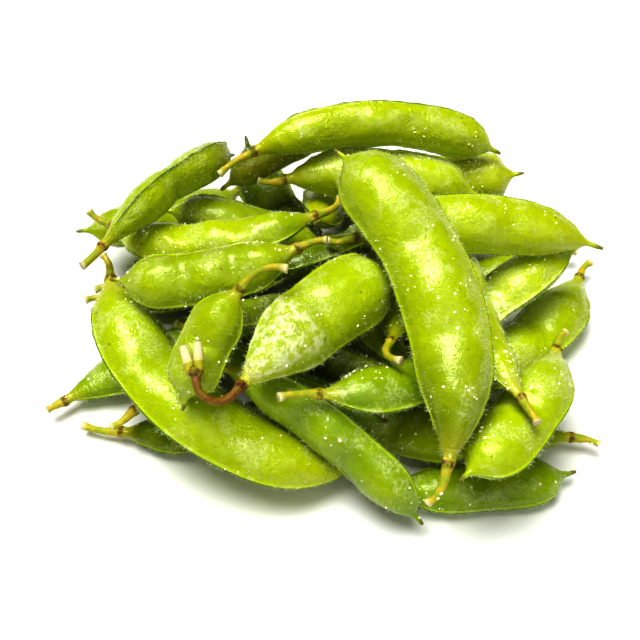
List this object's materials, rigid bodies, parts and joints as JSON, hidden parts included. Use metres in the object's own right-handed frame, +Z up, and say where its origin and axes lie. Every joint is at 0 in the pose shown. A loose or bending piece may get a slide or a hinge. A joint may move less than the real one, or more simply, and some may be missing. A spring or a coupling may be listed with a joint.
{
  "type": "edamame pod bundle",
  "caption": "Loose heap of boiled green soybean pods, curved and swollen over their beans, each with its calyx, stalk end and dry beak, resting on a flat surface.",
  "frame": {"origin": "middle of the heap's footprint, on the surface that it rests on", "axes": "+Z up from the surface, +X along the heap's longest side, +Y from its front to its back"},
  "size_m": [0.1312, 0.1186, 0.0521],
  "materials": {
    "pod_skin": "wet, glossy yellow-green skin with fine wrinkles and short pale hairs"
  },
  "bodies": {
    "root": {"crown_pod_1": "pod_skin", "crown_pod_2": "pod_skin", "crown_pod_3": "pod_skin", "crown_pod_4": "pod_skin", "crown_pod_5": "pod_skin", "crown_pod_6": "pod_skin", "crown_pod_7": "pod_skin", "left_pod_1": "pod_skin", "left_pod_2": "pod_skin", "left_pod_3": "pod_skin", "left_pod_4": "pod_skin", "left_pod_5": "pod_skin", "left_pod_6": "pod_skin", "left_pod_7": "pod_skin", "left_pod_8": "pod_skin", "left_pod_9": "pod_skin", "left_pod_10": "pod_skin", "left_pod_11": "pod_skin", "front_pod_1": "pod_skin", "front_pod_2": "pod_skin", "front_pod_3": "pod_skin", "front_pod_4": "pod_skin", "front_pod_5": "pod_skin", "front_pod_6": "pod_skin", "front_pod_7": "pod_skin", "front_pod_8": "pod_skin", "right_pod_1": "pod_skin", "right_pod_2": "pod_skin", "right_pod_3": "pod_skin", "right_pod_4": "pod_skin", "right_pod_5": "pod_skin", "right_pod_6": "pod_skin", "right_pod_7": "pod_skin", "middle_pod_1": "pod_skin", "middle_pod_2": "pod_skin", "middle_pod_3": "pod_skin", "middle_pod_4": "pod_skin", "middle_pod_5": "pod_skin", "back_pod_1": "pod_skin", "back_pod_2": "pod_skin", "back_pod_3": "pod_skin", "back_pod_4": "pod_skin", "back_pod_5": "pod_skin"}
  },
  "joints": []
}
